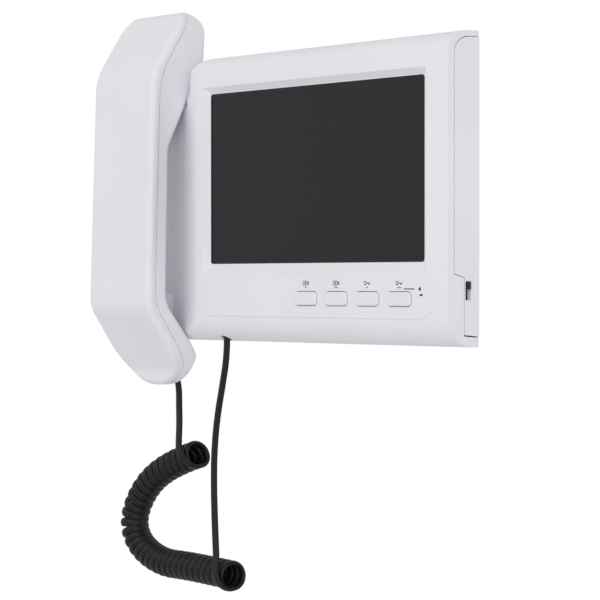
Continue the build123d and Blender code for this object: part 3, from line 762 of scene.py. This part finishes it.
@dataclass
class CurlyCord(Assembly):
    """One flat cord: a tail from the housing, the coil, and a tail to the handset.

    Attributes:
        wide: the section's width, which lies along the coil.
        thick: the section's thickness.
        coil_radius: outer radius of the coil.
        turns: whole turns of the coil between its two ends.
        per_turn: points of each turn.
        sides: sides of the section.
        smooth: angle in degrees up to which the jacket is shaded smooth.
        base_tail: points of the housing's tail, in millimetres.
        coil_route: points of the coil's axis, in millimetres.
        handset_tail: points of the handset's tail, in millimetres.
        lead: points from a tail into the coil's end ring, each as its angle in degrees from the
            ring's front, its distance back along the coil and its distance from the coil's axis,
            in millimetres.
    """

    wide: float = 4.4 * MM
    thick: float = 2.3 * MM
    coil_radius: float = 7.5 * MM
    turns: int = 33
    per_turn: int = 16
    sides: int = 14
    smooth: float = 50.0

    base_tail: ClassVar[tuple[Point, ...]] = (
        (-71.0, -17.6, -69.6),
        (-71.0, -17.6, -79.0),
        (-73.6, -18.1, -93.0),
        (-77.5, -19.0, -112.0),
        (-79.0, -19.6, -131.0),
        (-77.6, -20.8, -148.0),
        (-73.8, -23.4, -163.0),
        (-70.0, -26.0, -174.0),
    )
    coil_route: ClassVar[tuple[Point, ...]] = (
        (-62.0, -20.5, -190.2),
        (-98.0, -19.5, -188.6),
        (-123.0, -18.8, -189.3),
        (-144.0, -18.0, -181.0),
        (-151.0, -16.5, -167.5),
        (-141.5, -14.0, -149.0),
        (-122.0, -11.5, -137.0),
        (-103.0, -10.0, -131.5),
    )
    handset_tail: ClassVar[tuple[Point, ...]] = (
        (-115.6, -12.8, -115.5),
        (-121.0, -8.8, -106.5),
        (-123.5, -6.7, -98.5),
        (-123.5, -8.6, -90.45),
        (-123.5, -11.64, -87.41),
    )
    lead: ClassVar[tuple[Point, ...]] = (
        (50.0, 6.0, 10.8),
        (25.0, 4.8, 9.9),
        (0.0, 3.4, 9.3),
        (-22.0, 2.2, 8.9),
        (-45.0, 1.2, 8.3),
        (-68.0, 0.5, 7.4),
    )

    def _follow(self, name: str, points: list[Vector], steps: int) -> list[Vector]:
        """Read the points of a smooth line through control points.

        Args:
            name: name of the helper curve.
            points: the control points.
            steps: points read between two control points.

        Returns:
            The line's points.
        """
        curve = bpy.data.curves.new(name, "CURVE")
        curve.dimensions = "3D"
        curve.resolution_u = steps
        spline = curve.splines.new("NURBS")
        spline.points.add(len(points) - 1)
        for control, point in zip(spline.points, points):
            control.co = (*point, 1.0)
        spline.order_u = 3
        spline.use_endpoint_u = True
        holder = bpy.data.objects.new(name, curve)
        bpy.context.scene.collection.objects.link(holder)
        bpy.context.view_layer.update()
        mesh = bpy.data.meshes.new_from_object(holder)
        line = [vertex.co.copy() for vertex in mesh.vertices]
        bpy.data.objects.remove(holder)
        bpy.data.meshes.remove(mesh)
        bpy.data.curves.remove(curve)
        return line

    @staticmethod
    def _lengths(line: list[Vector]) -> list[float]:
        """Give the distance along a line at each of its points.

        Args:
            line: the line's points.

        Returns:
            The distances.
        """
        total = [0.0]
        for before, after in zip(line, line[1:]):
            total.append(total[-1] + (after - before).length)
        return total

    def _at(self, line: list[Vector], lengths: list[float], distance: float) -> tuple[Vector, Vector]:
        """Find a place along a line.

        Args:
            line: the line's points.
            lengths: the distance along it at each point.
            distance: where to look.

        Returns:
            The place and the line's direction there.
        """
        n = 1
        while n < len(lengths) - 1 and lengths[n] < distance:
            n += 1
        share = (distance - lengths[n - 1]) / (lengths[n] - lengths[n - 1])
        before = (line[n] - line[max(0, n - 2)]).normalized()
        after = (line[min(len(line) - 1, n + 1)] - line[n - 1]).normalized()
        return line[n - 1].lerp(line[n], share), before.lerp(after, share).normalized()

    @staticmethod
    def _ring_frame(direction: Vector) -> tuple[Vector, Vector]:
        """Give the two directions of a turn's plane.

        Args:
            direction: the coil's direction there.

        Returns:
            The one towards the user, and the one square to that.
        """
        front = Vector((0.0, -1.0, 0.0))
        front = (front - direction * front.dot(direction)).normalized()
        return front, direction.cross(front)

    def _control_points(self) -> tuple[list[Vector], list[Vector]]:
        """Lay out the cord's control points and the side its width faces.

        Returns:
            The points, and at each one the direction of the section's width.
        """
        axis = self._follow("coil_axis", [Vector(p) * MM for p in self.coil_route], 24)
        lengths = self._lengths(axis)
        length = lengths[-1]
        radius = self.coil_radius - self.thick / 2
        # a curve through control points cuts inside its turns by this share
        bulge = 1.0 / (0.75 + 0.25 * math.cos(2 * math.pi / self.per_turn))
        points = [Vector(p) * MM for p in self.base_tail]
        sides = [Vector((-1.0, 0.0, 0.0)) for _ in points]
        start, heading = self._at(axis, lengths, 0.0)
        front, up = self._ring_frame(heading)
        for angle, back, reach in self.lead:
            turn = math.radians(angle)
            arm = front * math.cos(turn) + up * math.sin(turn)
            points.append(start + heading * back * MM + arm * reach * MM)
            sides.append(heading)
        first = math.radians(-90.0)
        last = math.radians(90.0) - 2 * math.pi * (self.turns + 1)
        count = round((first - last) / (2 * math.pi) * self.per_turn)
        for n in range(count + 1):
            share = n / count
            place, heading = self._at(axis, lengths, share * length)
            front, up = self._ring_frame(heading)
            turn = first + (last - first) * share
            arm = front * math.cos(turn) + up * math.sin(turn)
            points.append(place + arm * radius * bulge)
            sides.append(heading.copy())
        end, heading = self._at(axis, lengths, length)
        front, up = self._ring_frame(heading)
        for angle, back, reach in reversed(self.lead):
            turn = math.radians(-angle)
            arm = front * math.cos(turn) + up * math.sin(turn)
            points.append(end - heading * back * MM + arm * reach * MM)
            sides.append(heading)
        tail = [Vector(p) * MM for p in self.handset_tail]
        across = Vector((1.0, 0.0, 0.0))
        points += tail
        sides += [heading.lerp(across, (n + 1) / len(tail)) for n in range(len(tail))]
        return points, sides

    def _sweep(self, line: list[Vector], sides: list[Vector]) -> bpy.types.Object:
        """Sweep the flat section along the cord's line.

        Args:
            line: the line's points.
            sides: direction of the section's width at each point.

        Returns:
            The cord.
        """
        vertices: list[Vector] = []
        faces: list[tuple[int, ...]] = []
        last = len(line) - 1
        for n, (place, side) in enumerate(zip(line, sides)):
            heading = (line[min(last, n + 1)] - line[max(0, n - 1)]).normalized()
            width = (side - heading * side.dot(heading)).normalized()
            depth = heading.cross(width)
            for k in range(self.sides):
                turn = 2 * math.pi * k / self.sides
                across = width * math.cos(turn) * self.wide / 2
                vertices.append(place + across + depth * math.sin(turn) * self.thick / 2)
        for n in range(last):
            for k in range(self.sides):
                a = n * self.sides + k
                b = n * self.sides + (k + 1) % self.sides
                faces.append((a, b, b + self.sides, a + self.sides))
        faces.append(tuple(reversed(range(self.sides))))
        faces.append(tuple(range(last * self.sides, (last + 1) * self.sides)))
        mesh = bpy.data.meshes.new("curly_cord")
        mesh.from_pydata([tuple(v) for v in vertices], [], faces)
        cord = bpy.data.objects.new("curly_cord", mesh)
        bpy.context.scene.collection.objects.link(cord)
        Bench.clear()
        cord.select_set(True)
        bpy.context.view_layer.objects.active = cord
        bpy.ops.object.shade_smooth_by_angle(angle=math.radians(self.smooth))
        return cord

    def extras(self) -> None:
        points, sides = self._control_points()
        line = self._follow("cord_line", points, 3)
        spread = []
        for n in range(len(line)):
            place = n / (len(line) - 1) * (len(sides) - 1)
            low = min(len(sides) - 2, int(place))
            spread.append(sides[low].lerp(sides[low + 1], place - low))
        cord = self._sweep(line, spread)
        dress(cord, self.wardrobe.get(CORD))
        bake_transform(cord)
        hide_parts("cord_base_tail", "cord_coil", "cord_handset_tail")


@dataclass
class Studio:
    """Floor, lights, surroundings and the camera.

    Attributes:
        floor_z: the floor's height.
        floor_side: length of its side.
        room_strength: strength of the light from the surroundings.
        backdrop_strength: their brightness where the camera sees them.
        eye: the camera's place.
        yaw: its turn to the left, in radians.
        pitch: its tilt upwards, in radians.
        lens: its focal length in millimetres.
        sensor: its sensor's width in millimetres.
        near: where its view starts.
        far: where its view ends.
    """

    floor_z: float = -0.62
    floor_side: float = 4.0
    room_strength: float = 0.62
    backdrop_strength: float = 1.0
    eye: Point = (0.827144, -0.766476, -0.043094)
    yaw: float = 0.84412
    pitch: float = -0.006978
    lens: float = 138.2
    sensor: float = 36.0
    near: float = 0.05
    far: float = 50.0

    def _camera(self) -> None:
        """Stand the camera at the user's eye and look at the unit."""
        data = bpy.data.cameras.new("eye")
        data.lens = self.lens
        data.sensor_width = self.sensor
        data.clip_start = self.near
        data.clip_end = self.far
        camera = bpy.data.objects.new("eye", data)
        bpy.context.scene.collection.objects.link(camera)
        flat = math.cos(self.pitch)
        look = Vector((-math.sin(self.yaw) * flat, math.cos(self.yaw) * flat, math.sin(self.pitch)))
        camera.location = self.eye
        camera.rotation_euler = look.to_track_quat("-Z", "Y").to_euler()
        bpy.context.scene.camera = camera

    def _light(self, lamp: Lamp) -> None:
        """Hang one soft square light.

        Args:
            lamp: what to hang.
        """
        data = bpy.data.lights.new(lamp.name, "AREA")
        data.shape = "SQUARE"
        data.size = lamp.size
        data.energy = lamp.power
        holder = bpy.data.objects.new(lamp.name, data)
        bpy.context.scene.collection.objects.link(holder)
        holder.location = lamp.place
        look = Vector(lamp.target) - Vector(lamp.place)
        holder.rotation_euler = look.to_track_quat("-Z", "Y").to_euler()

    def _surroundings(self) -> None:
        """Fill the surroundings with soft white light, and show the camera a white backdrop."""
        world = bpy.data.worlds.new("studio")
        bpy.context.scene.world = world
        world.use_nodes = True
        tree = world.node_tree
        tree.nodes.clear()
        output = tree.nodes.new("ShaderNodeOutputWorld")
        mix = tree.nodes.new("ShaderNodeMixShader")
        ray = tree.nodes.new("ShaderNodeLightPath")
        for n, strength in enumerate((self.room_strength, self.backdrop_strength)):
            background = tree.nodes.new("ShaderNodeBackground")
            background.inputs["Color"].default_value = (1.0, 1.0, 1.0, 1.0)
            background.inputs["Strength"].default_value = strength
            tree.links.new(background.outputs["Background"], mix.inputs[n + 1])
        tree.links.new(ray.outputs["Is Camera Ray"], mix.inputs["Fac"])
        tree.links.new(mix.outputs["Shader"], output.inputs["Surface"])

    def _floor(self) -> None:
        """Lay a plain pale floor far below the unit."""
        Bench.clear()
        bpy.ops.mesh.primitive_plane_add(size=self.floor_side, location=(0, 0, self.floor_z))
        floor = Bench.settle("floor")
        floor.data.materials.append(FLOOR.build())

    def build(self) -> None:
        """Set up everything round the unit."""
        self._camera()
        self._surroundings()
        self._floor()
        self._light(KEY_LIGHT)
        self._light(FILL_LIGHT)
        bpy.context.scene.view_settings.view_transform = "Standard"


def main() -> None:
    """Build the scene in order."""
    logging.basicConfig(level=logging.INFO, format="%(message)s")
    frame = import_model()
    wardrobe = Wardrobe()
    Studio().build()
    for assembly in (CurlyCord, Housing, Screen, Keys, Marks, Electronics, Handset):
        assembly(frame["nodes"], wardrobe).build()


if __name__ == "__main__":
    main()
